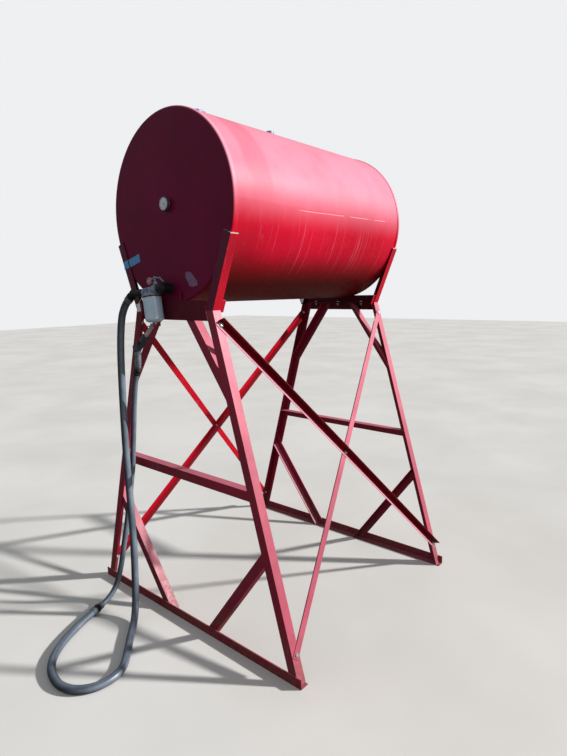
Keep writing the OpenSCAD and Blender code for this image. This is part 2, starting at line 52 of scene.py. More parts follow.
# Sizes of the tank and the stand, in metres
FIT_GAP = 0.0003  # what the solids leave between two pieces that touch
TANK_R = 0.4826
TANK_LEN = 1.524
SKIRT_LEN = 0.026
UNDER_TANK = 0.0322
WAIST_Z = 1.783
WAIST_HALF = 0.318
SPLAY = 0.509
ARM_LEAN = math.radians(22)
IRON_W = 0.0508
IRON_T = 0.0048
BRACE_T = 0.0032
BRACE_BOLT_IN = 0.030
BRACE_TOP_Z = 1.712
BRACE_LOW_Z = 0.140
MID_RAIL_Z = 0.907

# Places and angles that follow from the sizes
LEG_LEAN = math.atan(SPLAY / WAIST_Z)
LEG_Y = IRON_T - IRON_W / 2
HEAD_Y = LEG_Y + IRON_T + FIT_GAP
MID_Y = HEAD_Y + TANK_LEN / 2
BRACE_Y = LEG_Y + BRACE_BOLT_IN
TANK_Z = WAIST_Z + UNDER_TANK + TANK_R


def leg_x(z):
    """Half the stand's width over the legs at a height."""
    return WAIST_HALF + (WAIST_Z - z) * math.tan(LEG_LEAN)


def arm_x(z):
    """Half the cradle's width over the arms at a height."""
    return WAIST_HALF + (z - WAIST_Z) * math.tan(ARM_LEAN)


def both_ends(y):
    """A plane at the front and its mirror image at the rear, the way inward and the end's name."""
    return ((y, 1, "front"), (2 * MID_Y - y, -1, "rear"))


# Camera, its place in metres, its angles in radians and its lens in millimetres

CAMERA_AT = (2.2841, -1.7655, 1.8656)
CAMERA_YAW = 0.7163
CAMERA_PITCH = -0.1597
CAMERA_ROLL = -0.019
CAMERA_LENS = 25.386


def make_camera():
    """The camera where the photo's stood."""
    forward = Vector((
        -math.sin(CAMERA_YAW) * math.cos(CAMERA_PITCH),
        math.cos(CAMERA_YAW) * math.cos(CAMERA_PITCH),
        math.sin(CAMERA_PITCH),
    ))
    right = Vector((math.cos(CAMERA_YAW), math.sin(CAMERA_YAW), 0))
    up = right.cross(forward)
    c = math.cos(CAMERA_ROLL)
    s = math.sin(CAMERA_ROLL)
    rolled_right = right * c + up * s
    rolled_up = up * c - right * s
    data = bpy.data.cameras.new("photo_camera")
    data.sensor_fit = "VERTICAL"
    data.sensor_height = 36
    data.lens = CAMERA_LENS
    data.clip_end = 200
    camera = bpy.data.objects.new("photo_camera", data)
    scene.collection.objects.link(camera)
    turn = Matrix((rolled_right, rolled_up, -forward)).transposed().to_4x4()
    camera.matrix_world = Matrix.Translation(CAMERA_AT) @ turn
    scene.camera = camera


make_camera()


# Material nodes

def rgb(r, g, b):
    """A colour given as 0 to 255, made linear."""
    out = []
    for v in (r, g, b):
        v = v / 255
        out.append(v / 12.92 if v <= 0.04045 else ((v + 0.055) / 1.055) ** 2.4)
    return (out[0], out[1], out[2], 1.0)


class Surface:
    """A procedural material and the few nodes it is made of."""

    def __init__(self, name, roughness=0.5, metallic=0.0):
        self.mat = bpy.data.materials.new(name)
        self.mat.use_nodes = True
        self.tree = self.mat.node_tree
        self.shader = self.tree.nodes["Principled BSDF"]
        self.shader.inputs["Roughness"].default_value = roughness
        self.shader.inputs["Metallic"].default_value = metallic
        self.where = self.tree.nodes.new("ShaderNodeTexCoord")
        geometry = self.tree.nodes.new("ShaderNodeNewGeometry")
        self.x, self.y, self.z = self.split(self.where.outputs["Object"])
        self.facing_x, self.facing_y, self.facing_z = self.split(geometry.outputs["Normal"])

    def link(self, a, b):
        self.tree.links.new(a, b)

    def put(self, socket, value):
        if isinstance(value, bpy.types.NodeSocket):
            self.link(value, socket)
        else:
            socket.default_value = value

    def split(self, vector):
        node = self.tree.nodes.new("ShaderNodeSeparateXYZ")
        self.link(vector, node.inputs[0])
        return node.outputs[0], node.outputs[1], node.outputs[2]

    def noise(self, scale, detail, stretch=(1, 1, 1), rough=0.55, at=(0, 0, 0)):
        """A noise from 0 to 1 over the object's own coordinates, stretched and moved."""
        place = self.tree.nodes.new("ShaderNodeMapping")
        place.inputs["Scale"].default_value = stretch
        place.inputs["Location"].default_value = at
        self.link(self.where.outputs["Object"], place.inputs["Vector"])
        node = self.tree.nodes.new("ShaderNodeTexNoise")
        node.inputs["Scale"].default_value = scale
        node.inputs["Detail"].default_value = detail
        node.inputs["Roughness"].default_value = rough
        self.link(place.outputs[0], node.inputs["Vector"])
        return node.outputs[0]

    def band(self, value, low, high, to_low=0.0, to_high=1.0):
        """A value eased from one range into another."""
        node = self.tree.nodes.new("ShaderNodeMapRange")
        node.interpolation_type = "SMOOTHSTEP"
        self.put(node.inputs["Value"], value)
        node.inputs["From Min"].default_value = low
        node.inputs["From Max"].default_value = high
        node.inputs["To Min"].default_value = to_low
        node.inputs["To Max"].default_value = to_high
        return node.outputs[0]

    def between(self, value, low, high, soft):
        """1 inside a range of a value, with soft edges."""
        from_low = self.band(value, low - soft, low + soft)
        to_high = self.band(value, high - soft, high + soft, 1.0, 0.0)
        return self.calc("MINIMUM", from_low, to_high)

    def calc(self, kind, a, b=0.0):
        node = self.tree.nodes.new("ShaderNodeMath")
        node.operation = kind
        self.put(node.inputs[0], a)
        self.put(node.inputs[1], b)
        return node.outputs[0]

    def plus(self, a, b):
        return self.calc("ADD", a, b)

    def less(self, a, b):
        return self.calc("SUBTRACT", a, b)

    def times(self, a, b):
        return self.calc("MULTIPLY", a, b)

    def most(self, a, b):
        return self.calc("MAXIMUM", a, b)

    def size(self, a):
        return self.calc("ABSOLUTE", a)

    def wander(self, value, by, reach):
        """A value pushed up and down by a noise, so that its edges wander."""
        return self.plus(value, self.times(self.less(by, 0.5), reach))

    def mix(self, share, a, b):
        """Two colours mixed. The node's sockets 6, 7 and 2 are the ones for colours."""
        node = self.tree.nodes.new("ShaderNodeMix")
        node.data_type = "RGBA"
        node.clamp_factor = True
        self.put(node.inputs[0], share)
        self.put(node.inputs[6], a)
        self.put(node.inputs[7], b)
        return node.outputs[2]

    def bump(self, height, strength, distance, under=None):
        node = self.tree.nodes.new("ShaderNodeBump")
        node.inputs["Strength"].default_value = strength
        node.inputs["Distance"].default_value = distance
        self.put(node.inputs["Height"], height)
        if under is not None:
            self.link(under, node.inputs["Normal"])
        return node.outputs[0]

    def colour(self, value):
        self.put(self.shader.inputs["Base Color"], value)

    def roughness(self, value):
        self.put(self.shader.inputs["Roughness"], value)

    def normal(self, value):
        self.link(value, self.shader.inputs["Normal"])

    def coat(self, weight, roughness):
        self.shader.inputs["Coat Weight"].default_value = weight
        self.shader.inputs["Coat Roughness"].default_value = roughness


# Paint

RUST = rgb(104, 46, 30)
# Painted shade and painted reflection of the ground on the tank's underside.
UNDERSIDE_SHADE_AND_REFLECTION = rgb(88, 20, 8)
# The shell's pink up top is partly bleached paint and partly painted sunlight and sheen.
SHELL_BLEACHED_SUNLIT = rgb(248, 162, 186)
SHELL_FADE = (-0.40, 0.46)
NO_GRIME = 0.0001  # the tank is far above what splashes up from the ground
SUNLIT_STRIP_TOP = -0.006  # the upper edge of the pale strip, painted sunlight and partly bleached, from the line of the brace's bolts
ARM_END = max(
    abs(v.co.x) * math.sin(ARM_LEAN) + v.co.z * math.cos(ARM_LEAN)
    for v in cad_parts["front_right_arm"].data.vertices
)


def weathered_paint(
    name, deep, mid, faded, fade, fade_most, grime_z, coat, spots, gloss,
    wear=1.0, marks=None, low_fade=1.0, round_side=False,
):
    """Old gloss enamel, streaked, scuffed and rusty in spots, and pale where it faces up and towards +x.
    That pale colour is partly bleached, chalky paint and partly painted sunlight and sheen.

    fade is the range of facing up, -1 to 1, over which the paint turns pale, by the share fade_most at
    most and by that times low_fade near the ground. The faces turned to +x, the sun's side, take more of
    it.
    Dirt reaches up to grime_z. Rust shows where its noise passes spots. marks adds what only one piece has.
    """
    s = Surface(name)
    broad = s.noise(1.5, 3)
    cloud = s.noise(7, 4, at=(0.3, 1.9, 0.7))
    streak = s.noise(3.0, 6, stretch=(9, 9, 0.5), rough=0.68)
    fine = s.noise(75, 4, rough=0.7)
    speck = s.noise(30, 6, rough=0.78, at=(3.1, 0.4, 1.7))
    dust = s.noise(210, 2, rough=0.6)
    rise = tank_rise(s) if round_side else s.facing_z
    up = s.band(s.wander(rise, cloud, 0.16), fade[0], fade[1])
    # Painted sunlight: the faces turned to +x, the sun's side, get more of the pale colour.
    sunny = s.band(s.most(s.facing_x, rise), -0.5, 0.9, 0.22, 1.0)
    patchy = s.band(broad, 0.25, 0.75, 0.82 * fade_most, fade_most)
    bleached_and_sunlit = s.times(s.times(up, sunny), patchy)
    if low_fade < 1.0:
        bleached_and_sunlit = s.times(bleached_and_sunlit, s.band(s.z, 0.3, 1.5, low_fade, 1.0))
    body = s.mix(s.band(broad, 0.3, 0.7), deep, mid)
    body = s.mix(s.band(streak, 0.56, 0.78, 0.0, 0.22 * wear), body, faded)
    # Bleached paint and painted sunlight on the faces turned up and to +x.
    body = s.mix(bleached_and_sunlit, body, faded)
    body = s.mix(s.band(dust, 0.62, 0.8, 0.0, 0.3 * wear), body, rgb(236, 196, 196))
    body = s.mix(s.band(cloud, 0.35, 0.75, 0.0, 0.22 * wear), body, deep)
    if marks is not None:
        body = marks(s, body, cloud)
    dirt = s.times(s.band(s.z, 0.0, grime_z, 0.75, 0.0), s.band(speck, 0.38, 0.62))
    body = s.mix(dirt, body, rgb(112, 88, 74))
    pits = s.band(speck, spots, spots + 0.05)
    s.colour(s.mix(pits, body, RUST))
    rubbed = s.plus(s.times(fine, 0.5), s.times(streak, 0.5))
    dull = s.times(s.most(pits, dirt), 0.35)
    s.roughness(s.plus(s.band(rubbed, 0.3, 0.7, 0.3, 0.5), dull))
    s.shader.inputs["Specular IOR Level"].default_value = gloss
    s.coat(coat, 0.34)
    rippled = s.bump(s.noise(2.4, 2, stretch=(1, 1, 0.6)), 0.3, 0.02)
    s.normal(s.bump(s.less(fine, s.times(pits, 1.5)), 0.2, 0.0006, rippled))
    return s


def tank_rise(s):
    """How far a place on the tank's round side faces up, from -1 to 1, taken from its height."""
    return s.band(s.z, TANK_Z - TANK_R, TANK_Z + TANK_R, -1.0, 1.0)


def under_shade_and_reflection(s):
    """Where the round side faces down and takes a painted shade and a painted reflection of the ground."""
    return s.band(tank_rise(s), -0.98, -0.62, 0.85, 0.0)


def long_scratch(s):
    """Where the long scratch on the right flank runs, climbing a little to the back."""
    line = s.less(s.less(s.z, s.times(s.y, 0.0128)), 2.277)
    off = s.size(s.wander(line, s.noise(2.6, 2, at=(1.1, 0.0, 0.3)), 0.02))
    patchy = s.band(s.noise(9, 3, at=(0.2, 0.8, 0.0)), 0.4, 0.5)
    thin = s.times(s.band(off, 0.0012, 0.0026, 1.0, 0.0), patchy)
    run = s.times(thin, s.between(s.y, 0.45, 1.32, 0.02))
    return s.times(run, s.band(s.x, 0.1, 0.2))


def tank_marks(s, body, cloud):
    """A duller ring behind the lap, dust runs and scuffs on the flank, the scratch, a painted shadow of the
    front arms low near the head, and a painted shade and ground reflection on the underside.
    """
    wavy = s.wander(s.y, cloud, 0.05)
    ring = s.times(s.between(wavy, 0.103, 0.263, 0.024), s.band(s.z, 2.2, 2.42))
    body = s.mix(s.times(ring, 0.32), body, rgb(222, 84, 110))
    runs = s.noise(1.0, 4, stretch=(1.3, 95, 1.3), at=(0.4, 0.0, 0.9))
    runs = s.times(s.band(runs, 0.59, 0.7, 0.0, 0.5), s.between(s.z, 1.93, 2.23, 0.07))
    body = s.mix(runs, body, rgb(236, 128, 146))
    scuffs = s.noise(1.0, 4, stretch=(4, 170, 4), rough=0.6, at=(0.1, 0.3, 0.5))
    scuffs = s.times(s.band(scuffs, 0.6, 0.68, 0.0, 0.4), s.between(s.z, 1.885, 2.02, 0.04))
    body = s.mix(scuffs, body, rgb(214, 110, 122))
    body = s.mix(s.times(long_scratch(s), 0.62), body, rgb(252, 206, 216))
    # Painted shadow of the front arms, low on the shell near the front head.
    shade = s.times(s.band(wavy, 0.06, 0.30, 1.0, 0.0), s.between(s.z, 1.93, 2.15, 0.09))
    body = s.mix(s.times(shade, 0.25), body, rgb(112, 40, 44))
    return s.mix(under_shade_and_reflection(s), body, UNDERSIDE_SHADE_AND_REFLECTION)


def head_marks(s, body, cloud):
    """The rolled rim and the lap are coloured much as the shell is, with its bleached pink and painted
    sunlight above and its painted shade and ground reflection below.
    """
    up = s.less(s.z, TANK_Z)
    reach_squared = s.plus(s.times(s.x, s.x), s.times(up, up))
    turned_away = s.band(s.size(s.facing_y), 0.45, 0.92, 1.0, 0.0)
    rim = s.times(turned_away, s.band(reach_squared, 0.212, 0.221))
    bleached = s.band(s.wander(tank_rise(s), cloud, 0.16), SHELL_FADE[0], SHELL_FADE[1])
    # Partly bleached paint, partly painted sunlight on the rim's upper part.
    side = s.mix(bleached, rgb(216, 14, 46), SHELL_BLEACHED_SUNLIT)
    side = s.mix(under_shade_and_reflection(s), side, UNDERSIDE_SHADE_AND_REFLECTION)
    return s.mix(rim, body, side)


def arm_marks(s, body, cloud):
    """Bare metal along the upper cut of an arm, and painted shade on its inner and front faces."""
    along = s.plus(s.times(s.size(s.x), math.sin(ARM_LEAN)), s.times(s.z, math.cos(ARM_LEAN)))
    chipped = s.wander(along, cloud, 0.008)
    body = s.mix(s.band(chipped, ARM_END - 0.0065, ARM_END - 0.0045), body, rgb(232, 220, 220))
    # Painted shade on the inner faces of the left arms.
    inner = s.times(s.band(s.facing_x, 0.3, 0.6), s.band(s.x, -0.1, -0.2))
    body = s.mix(inner, body, rgb(34, 6, 20))
    # Painted shade on the front faces, as dark as the front head.
    front = s.band(s.size(s.facing_y), 0.9, 0.97)
    return s.mix(front, body, rgb(102, 11, 51))


def brace_shadow_marks(s, body, cloud):
    """The lower strip of the right outer brace, which its own flange doesn't shade, is painted pale as
    sunlit, and partly bleached.
    """
    slope = math.atan2(BRACE_TOP_Z - BRACE_LOW_Z, 2 * (MID_Y - BRACE_Y))
    bolt_line = BRACE_Y * math.sin(slope) + BRACE_TOP_Z * math.cos(slope)
    across = s.plus(s.times(s.y, math.sin(slope)), s.times(s.z, math.cos(slope)))
    # Painted sunlight on the strip below the flange's shadow.
    strip = s.band(s.less(across, bolt_line), SUNLIT_STRIP_TOP - 0.0015, SUNLIT_STRIP_TOP + 0.0015, 1.0, 0.0)
    return s.mix(s.times(strip, 0.95), body, rgb(252, 164, 184))


tank_paint = weathered_paint(
    "tank_red_paint",
    deep=rgb(204, 10, 42), mid=rgb(228, 18, 54), faded=SHELL_BLEACHED_SUNLIT, fade=SHELL_FADE, fade_most=0.92,
    grime_z=NO_GRIME, coat=0.0, spots=0.7, gloss=0.12, wear=0.6, marks=tank_marks, round_side=True,
)
# The heads' dark purple red is painted shade and blue sky light, as on the front head out of the sun; the
# rear head takes the same.
shaded_head_paint = weathered_paint(
    "tank_head_paint",
    deep=rgb(108, 13, 55), mid=rgb(127, 17, 65), faded=rgb(206, 104, 128), fade=(0.0, 0.8), fade_most=0.7,
    grime_z=NO_GRIME, coat=0.0, spots=0.74, gloss=0.12, wear=0.15, marks=head_marks,
)
stand_paint = weathered_paint(
    "stand_red_paint",
    deep=rgb(128, 12, 44), mid=rgb(158, 20, 56), faded=rgb(236, 136, 156), fade=(-0.1, 0.25),
    fade_most=0.85, grime_z=0.3, coat=0.1, spots=0.66, gloss=0.25, low_fade=0.5,
)
arm_paint = weathered_paint(
    "arm_red_paint",
    deep=rgb(180, 9, 38), mid=rgb(216, 14, 46), faded=rgb(238, 142, 160), fade=(-0.1, 0.4), fade_most=0.7,
    grime_z=0.3, coat=0.1, spots=0.68, gloss=0.25, marks=arm_marks,
)
brace_paint = weathered_paint(
    "brace_red_paint",
    deep=rgb(196, 6, 34), mid=rgb(222, 10, 44), faded=rgb(238, 128, 148), fade=(0.1, 0.7), fade_most=0.4,
    grime_z=0.3, coat=0.1, spots=0.68, gloss=0.2,
)
# The right outer brace's dark red is painted shadow of its own flange on its web, partly paint that the
# flange keeps from bleaching.
shaded_outer_brace_paint = weathered_paint(
    "shaded_outer_brace_paint",
    deep=rgb(112, 6, 22), mid=rgb(136, 8, 30), faded=rgb(188, 60, 80), fade=(0.6, 1.0), fade_most=0.3,
    grime_z=0.3, coat=0.0, spots=0.68, gloss=0.12, marks=brace_shadow_marks,
)
# The cradle's rails and the top rails are painted darker red: painted shade, as under the tank.
shaded_cradle_paint = weathered_paint(
    "cradle_red_paint",
    deep=rgb(84, 8, 32), mid=rgb(108, 12, 40), faded=rgb(226, 128, 148), fade=(0.1, 0.6), fade_most=0.85,
    grime_z=0.3, coat=0.0, spots=0.68, gloss=0.15,
)


# Metal, rubber and card

def blotchy(name, dark, light, metallic, rough, scale, dent, rust=None, rust_from=0.7):
    """A cast, plated, painted or moulded surface, blotched between two colours, with or without rust.

    rough is the range of roughness, scale about how many blotches lie along a metre and dent the grain's
    depth in metres. The rust's colour shows where its noise passes rust_from.
    """
    s = Surface(name, metallic=metallic)
    blotch = s.noise(scale, 5, rough=0.65)
    fine = s.noise(scale * 9, 3, rough=0.7)
    body = s.mix(s.band(blotch, 0.3, 0.7), dark, light)
    if rust is not None:
        spots = s.noise(scale * 1.7, 6, rough=0.7, at=(1.3, 2.2, 0.6))
        body = s.mix(s.band(spots, rust_from, rust_from + 0.08), body, rust)
    s.colour(body)
    grain = s.plus(s.times(blotch, 0.6), s.times(fine, 0.4))
    s.roughness(s.band(grain, 0.3, 0.7, rough[0], rough[1]))
    s.normal(s.bump(fine, 0.35, dent))
    return s


def dusty_sunlit_rubber(name):
    """Dark hose rubber with pale dust and a painted sunlit sheen on its side turned to +x and up."""
    s = Surface(name)
    blotch = s.noise(9, 4)
    fine = s.noise(160, 4, rough=0.7)
    scuff = s.noise(22, 5, rough=0.75, at=(0.7, 0.2, 1.1))
    # Partly dust, partly painted sunlight: the side turned to +x and up is paler.
    dust = s.band(s.most(s.facing_x, s.times(s.facing_z, 0.6)), 0.2, 0.95)
    body = s.mix(s.band(blotch, 0.3, 0.7), rgb(30, 36, 50), rgb(48, 56, 72))
    body = s.mix(s.times(dust, s.band(blotch, 0.25, 0.75, 0.5, 0.85)), body, rgb(140, 154, 170))
    body = s.mix(s.band(scuff, 0.6, 0.76, 0.0, 0.3), body, rgb(140, 144, 148))
    s.colour(body)
    s.roughness(s.band(fine, 0.3, 0.7, 0.3, 0.48))
    s.coat(0.25, 0.3)
    s.normal(s.bump(fine, 0.25, 0.0004))
    return s


hose_rubber = dusty_sunlit_rubber("hose_rubber")
black_iron = blotchy(
    "black_iron", rgb(14, 14, 20), rgb(34, 34, 42),
    metallic=0.3, rough=(0.42, 0.66), scale=24, dent=0.0006, rust=RUST, rust_from=0.68,
)
cast_grey = blotchy(
    "cast_grey", rgb(116, 126, 148), rgb(168, 178, 200),
    metallic=0.55, rough=(0.4, 0.62), scale=40, dent=0.0008,
)
gasket = blotchy(
    "gasket_rubber", rgb(20, 20, 22), rgb(36, 36, 38),
    metallic=0.0, rough=(0.55, 0.75), scale=50, dent=0.0003,
)
bare_metal = blotchy(
    "bare_metal", rgb(150, 152, 158), rgb(206, 208, 214),
    metallic=0.85, rough=(0.3, 0.5), scale=60, dent=0.0003,
)
zinc = blotchy(
    "zinc_plate", rgb(168, 170, 176), rgb(226, 228, 232),
    metallic=0.75, rough=(0.3, 0.5), scale=90, dent=0.0002, rust=rgb(120, 86, 64), rust_from=0.7,
)
dark_nozzle = blotchy(
    "nozzle_cast", rgb(58, 60, 70), rgb(92, 94, 106),
    metallic=0.45, rough=(0.42, 0.62), scale=40, dent=0.0005,
)
# The outlet bung's near-black red is painted shade, as on the front head.
shaded_bung_paint = blotchy(
    "shaded_bung_paint", rgb(52, 12, 22), rgb(76, 18, 32),
    metallic=0.0, rough=(0.5, 0.7), scale=40, dent=0.0004, rust=RUST, rust_from=0.66,
)
# The canister is white; its pale blue is painted blue sky light.
canister = blotchy(
    "canister_white", rgb(194, 224, 248), rgb(218, 238, 252),
    metallic=0.0, rough=(0.28, 0.42), scale=14, dent=0.0002,
)
canister.shader.inputs["Coat Weight"].default_value = 0.4
canister_rim = blotchy(
    "canister_rim", rgb(206, 214, 222), rgb(240, 244, 248),
    metallic=0.35, rough=(0.25, 0.4), scale=40, dent=0.0002,
)
spout_metal = blotchy(
    "spout_metal", rgb(176, 182, 192), rgb(214, 220, 228),
    metallic=0.35, rough=(0.3, 0.45), scale=50, dent=0.0002,
)
tag_card = blotchy(
    "tag_card", rgb(238, 242, 248), rgb(252, 252, 254),
    metallic=0.0, rough=(0.6, 0.8), scale=30, dent=0.0003,
)
dial_white = blotchy(
    "dial_white", rgb(226, 238, 250), rgb(244, 250, 255),
    metallic=0.0, rough=(0.25, 0.4), scale=30, dent=0.0001,
)
dial_black = blotchy(
    "dial_black", rgb(18, 18, 20), rgb(34, 34, 36),
    metallic=0.0, rough=(0.4, 0.6), scale=30, dent=0.0001,
)
grip_grey = blotchy(
    "grip_grey", rgb(84, 96, 104), rgb(122, 132, 138),
    metallic=0.0, rough=(0.4, 0.6), scale=40, dent=0.0003,
)
faded_knob = blotchy(
    "faded_knob", rgb(176, 112, 128), rgb(206, 150, 160),
    metallic=0.0, rough=(0.45, 0.65), scale=40, dent=0.0003,
)
blue_tape = blotchy(
    "blue_tape", rgb(72, 152, 214), rgb(106, 182, 234),
    metallic=0.0, rough=(0.5, 0.68), scale=60, dent=0.0003,
)
bare_patch = blotchy(
    "bare_patch", rgb(122, 84, 124), rgb(156, 116, 154),
    metallic=0.25, rough=(0.4, 0.6), scale=50, dent=0.0003,
)

# The solids that aren't in the stand's own paint
NODE_SURFACES = {
    "tank_shell": tank_paint,
    "fill_neck": tank_paint,
    "front_head": shaded_head_paint,
    "rear_head": shaded_head_paint,
    "fill_cap": cast_grey,
    "vent_cap": cast_grey,
    "level_gauge": bare_metal,
    "outlet_bung": shaded_bung_paint,
    "front_right_arm": arm_paint,
    "front_left_arm": arm_paint,
    "rear_right_arm": arm_paint,
    "rear_left_arm": arm_paint,
    "front_cradle_rail": shaded_cradle_paint,
    "rear_cradle_rail": shaded_cradle_paint,
    "front_top_rail": shaded_cradle_paint,
    "rear_top_rail": shaded_cradle_paint,
    "right_outer_brace": shaded_outer_brace_paint,
    "left_outer_brace": brace_paint,
    "left_inner_brace": brace_paint,
    "outlet_elbow": black_iron,
    "shutoff_valve": cast_grey,
    "filter_head": cast_grey,
    "filter_gasket": gasket,
    "filter_canister": canister,
    "hose_fitting": black_iron,
    "hose_coupling": bare_metal,
    "nozzle_body": dark_nozzle,
    "nozzle_spout": spout_metal,
    "hang_tag": tag_card,
}

for name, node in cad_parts.items():
    surface = NODE_SURFACES.get(name, stand_paint)
    if not node.material_slots:
        node.data.materials.append(surface.mat)
    for slot in node.material_slots:
        slot.material = surface.mat


# Hoses, along the same routes as their solids

FUEL_ROUTE = (
    (-0.290, -0.076, 1.852), (-0.311, -0.0764, 1.837), (-0.333, -0.077, 1.819),
    (-0.351, -0.0785, 1.797), (-0.365, -0.0805, 1.772), (-0.375, -0.083, 1.745),
    (-0.386, -0.086, 1.688), (-0.395, -0.0895, 1.600), (-0.400, -0.093, 1.480), (-0.396, -0.100, 1.300),
    (-0.388, -0.107, 1.110), (-0.374, -0.115, 0.900), (-0.350, -0.125, 0.700), (-0.324, -0.138, 0.520),
    (-0.310, -0.148, 0.350), (-0.302, -0.157, 0.240), (-0.296, -0.163, 0.172), (-0.288, -0.170, 0.132),
    (-0.267, -0.189, 0.081), (-0.233, -0.219, 0.043), (-0.192, -0.256, 0.024), (-0.150, -0.294, 0.021),
    (-0.110, -0.330, 0.021), (-0.027, -0.400, 0.021), (0.054, -0.474, 0.021), (0.087, -0.524, 0.021),
    (0.099, -0.582, 0.021), (0.090, -0.642, 0.021), (0.061, -0.694, 0.021), (0.016, -0.733, 0.021),
    (-0.040, -0.753, 0.021), (-0.100, -0.755, 0.021), (-0.188, -0.734, 0.021), (-0.278, -0.678, 0.021),
    (-0.360, -0.582, 0.021), (-0.425, -0.464, 0.023), (-0.470, -0.352, 0.027),
)
NOZZLE_ROUTE = (
    (-0.496, -0.268, 0.033), (-0.504, -0.230, 0.044), (-0.506, -0.197, 0.066), (-0.505, -0.173, 0.095),
    (-0.501, -0.159, 0.125), (-0.488, -0.148, 0.180), (-0.474, -0.140, 0.240), (-0.464, -0.132, 0.300),
    (-0.456, -0.121, 0.376), (-0.448, -0.104, 0.470), (-0.440, -0.088, 0.570), (-0.433, -0.075, 0.660),
    (-0.418, -0.067, 0.760), (-0.398, -0.062, 0.870), (-0.384, -0.062, 0.970), (-0.366, -0.064, 1.070),
    (-0.349, -0.067, 1.155), (-0.330, -0.072, 1.240), (-0.292, -0.080, 1.370), (-0.268, -0.084, 1.427),
)
FUEL_HOSE_D = 0.041
NOZZLE_HOSE_D = 0.032


def smooth_line(route, steps=6, passes=2):
    """A smooth curve along the route, as many points."""
    p = [Vector(v) for v in route]
    line = []
    for i in range(len(p) - 1):
        a = p[max(i - 1, 0)]
        b = p[i]
        c = p[i + 1]
        d = p[min(i + 2, len(p) - 1)]
        first = c - a
        second = 2 * a - 5 * b + 4 * c - d
        third = 3 * b - a - 3 * c + d
        for k in range(steps):
            t = k / steps
            line.append(0.5 * (2 * b + first * t + second * t * t + third * t * t * t))
    line.append(p[-1])
    for _ in range(passes):
        inside = [(line[i - 1] + line[i] * 2 + line[i + 1]) / 4 for i in range(1, len(line) - 1)]
        line = [line[0]] + inside + [line[-1]]
    return line


def line_length(line):
    return sum((b - a).length for a, b in zip(line, line[1:]))


def hose(name, route, diameter, node):
    """A hose along a route in place of its solid, and its length."""
    line = smooth_line(route)
    curve = bpy.data.curves.new(name, "CURVE")
    curve.dimensions = "3D"
    spline = curve.splines.new("POLY")
    spline.points.add(len(line) - 1)
    for point, at in zip(spline.points, line):
        point.co = (*at, 1)
    spline.use_smooth = True
    curve.bevel_depth = diameter / 2
    curve.bevel_resolution = 6
    curve.use_fill_caps = True
    curve.materials.append(hose_rubber.mat)
    piece = bpy.data.objects.new(name, curve)
    scene.collection.objects.link(piece)
    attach(piece, "root")
    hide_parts(node)
    return piece, line_length(line)


fuel_hose, fuel_length = hose("rubber_fuel_hose", FUEL_ROUTE, FUEL_HOSE_D, "fuel_hose")
nozzle_hose, nozzle_length = hose("rubber_nozzle_hose", NOZZLE_ROUTE, NOZZLE_HOSE_D, "nozzle_hose")


# Mesh tools

def new_piece(name, bm, surface, smooth=35, replaces=()):
    """An object from a built mesh, its edges sharp above an angle in degrees."""
    bmesh.ops.remove_doubles(bm, verts=bm.verts, dist=1e-6)
    bmesh.ops.recalc_face_normals(bm, faces=bm.faces)
    mesh = bpy.data.meshes.new(name)
    bm.to_mesh(mesh)
    bm.free()
    mesh.materials.append(surface.mat)
    for polygon in mesh.polygons:
        polygon.use_smooth = True
    mesh.set_sharp_from_angle(angle=math.radians(smooth))
    piece = bpy.data.objects.new(name, mesh)
    scene.collection.objects.link(piece)
    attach(piece, "root")
    if replaces:
        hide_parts(*replaces)
    return piece


def frame_on(at, axis, turn=0.0):
    """The matrix that puts local z along the axis at a place."""
    axis = Vector(axis).normalized()
    side = axis.cross(Z)
    if side.length < 0.1:
        side = axis.cross(X)
    side.normalize()
    other = axis.cross(side)
    m = Matrix((side, other, axis)).transposed().to_4x4()
    return Matrix.Translation(at) @ m @ Matrix.Rotation(turn, 4, "Z")


def circle(bm, place, radius, height, sides):
    """A ring of vertices about local z."""
    ring = []
    for k in range(sides):
        angle = 2 * math.pi * k / sides
        at = Vector((radius * math.cos(angle), radius * math.sin(angle), height))
        ring.append(bm.verts.new(place @ at))
    return ring


def skin(bm, rings, closed=False):
    """Faces from ring to ring, and over both ends unless the last ring joins the first."""
    pairs = list(zip(rings, rings[1:]))
    if closed:
        pairs.append((rings[-1], rings[0]))
    for low, high in pairs:
        count = len(low)
        for k in range(count):
            n = (k + 1) % count
            bm.faces.new((low[k], low[n], high[n], high[k]))
    if not closed:
        bm.faces.new(list(reversed(rings[0])))
        bm.faces.new(rings[-1])


def turned(bm, profile, place, sides=32):
    """A solid of revolution: the profile's (radius, height) pairs about local z, closed at both ends."""
    skin(bm, [circle(bm, place, radius, height, sides) for radius, height in profile])


def slab(bm, outline, place, low, high, bevel=0.0):
    """A flat plate on an outline of (x, y) pairs, between two heights, its top edge eased."""
    cx = sum(p[0] for p in outline) / len(outline)
    cy = sum(p[1] for p in outline) / len(outline)
    levels = [(1.0, low), (1.0, high - bevel)]
    if bevel > 0:
        size = max(math.hypot(p[0] - cx, p[1] - cy) for p in outline)
        levels.append((1.0 - bevel / size, high))
    rings = []
    for grow, h in levels:
        rings.append([
            bm.verts.new(place @ Vector((cx + (x - cx) * grow, cy + (y - cy) * grow, h)))
            for x, y in outline
        ])
    skin(bm, rings)


def rounded(points, radius, steps=5):
    """An outline with its corners rounded."""
    out = []
    n = len(points)
    for i, p in enumerate(points):
        p = Vector(p)
        a = (Vector(points[i - 1]) - p).normalized()
        b = (Vector(points[(i + 1) % n]) - p).normalized()
        for k in range(steps + 1):
            t = k / steps
            out.append(p + a * radius * (1 - t) ** 2 + b * radius * t ** 2)
    return [(q[0], q[1]) for q in out]


